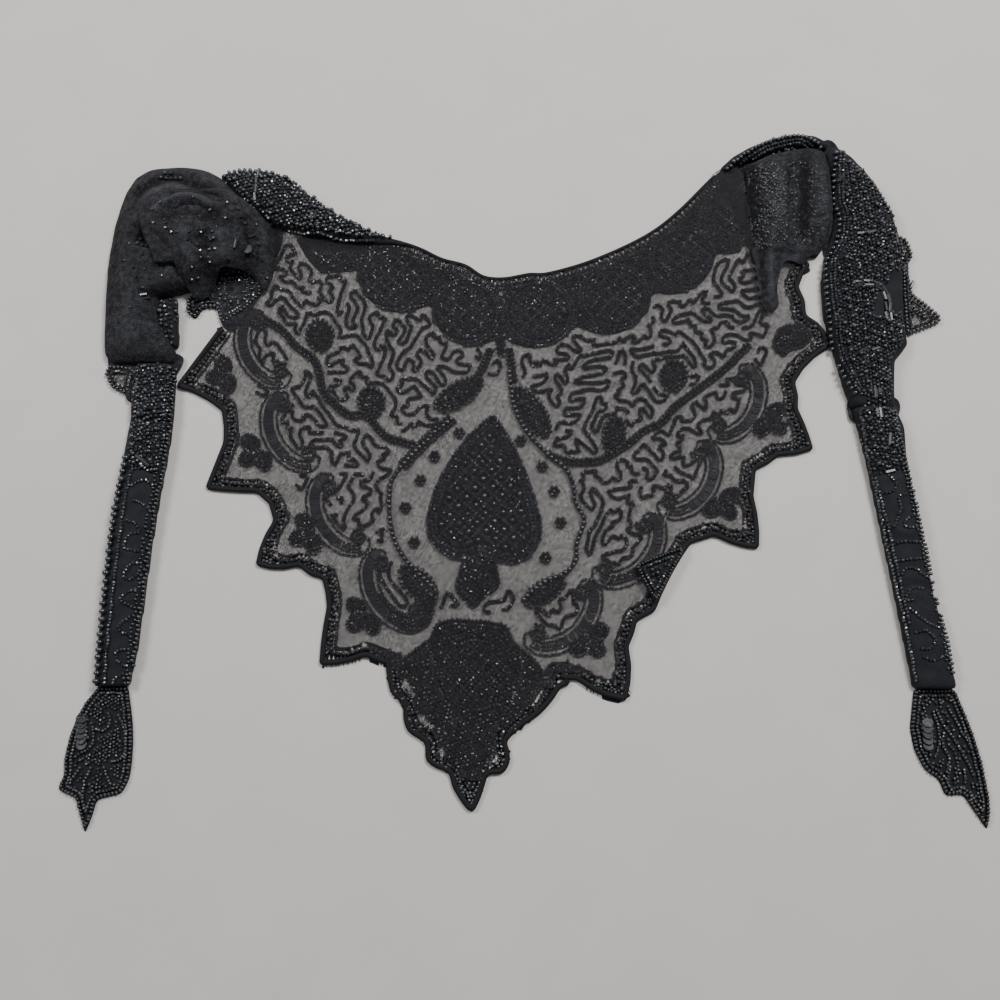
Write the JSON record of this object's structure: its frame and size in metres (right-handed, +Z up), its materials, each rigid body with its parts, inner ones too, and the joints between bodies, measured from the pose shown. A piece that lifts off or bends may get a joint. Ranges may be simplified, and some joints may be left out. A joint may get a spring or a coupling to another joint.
{
  "type": "beaded bib collar",
  "caption": "Pointed bib collar of black net with beaded zigzag border, scrolls and lattice, laid face down with its wings folded in and long ties at the sides.",
  "frame": {"origin": "bottom centre of the bounding box, on the surface that the collar lies on", "axes": "+Z up, away from the surface; the bib's point towards -Y and the neck edge towards +Y; +X to the right as laid"},
  "size_m": [0.3712, 0.3072, 0.0163],
  "materials": {
    "net": "matte stiff black net",
    "jet_beads": "opaque black glass seed beads, glossy",
    "sequins": "flat black sequins, glossy",
    "cord": "whipped black cord"
  },
  "bodies": {
    "root": {"bib_net": "net", "border_left": "jet_beads", "border_pendant": "jet_beads", "border_right": "jet_beads", "folded_point": "jet_beads", "leaf_left": "jet_beads", "leaf_right": "jet_beads", "left_flap": "net", "left_fold_point": "jet_beads", "left_lobe": "net", "left_neck_roll": "jet_beads", "left_strip": "jet_beads", "left_strip_point": "jet_beads", "left_tie": "jet_beads", "left_tip": "jet_beads", "neck_cord": "cord", "oval_left": "jet_beads", "oval_right": "jet_beads", "pendant_medallion": "jet_beads", "right_neck_roll": "jet_beads", "right_shoulder": "net", "right_tie": "jet_beads", "right_tip": "jet_beads", "right_wing": "jet_beads", "right_wing_edge": "jet_beads", "rosette_left_1": "jet_beads", "rosette_left_2": "jet_beads", "rosette_right_1": "jet_beads", "rosette_right_2": "jet_beads", "scroll_left_1": "sequins", "scroll_left_2": "sequins", "scroll_left_3": "sequins", "scroll_left_4": "sequins", "scroll_right_1": "sequins", "scroll_right_2": "sequins", "scroll_right_3": "sequins", "scroll_right_4": "sequins", "spade": "jet_beads", "spade_foot": "jet_beads", "trefoil_left_1": "jet_beads", "trefoil_left_2": "jet_beads", "trefoil_left_3": "jet_beads", "trefoil_left_4": "jet_beads", "trefoil_right_1": "jet_beads", "trefoil_right_2": "jet_beads", "trefoil_right_4": "jet_beads", "yoke_left": "jet_beads", "yoke_right": "jet_beads"}
  },
  "joints": []
}
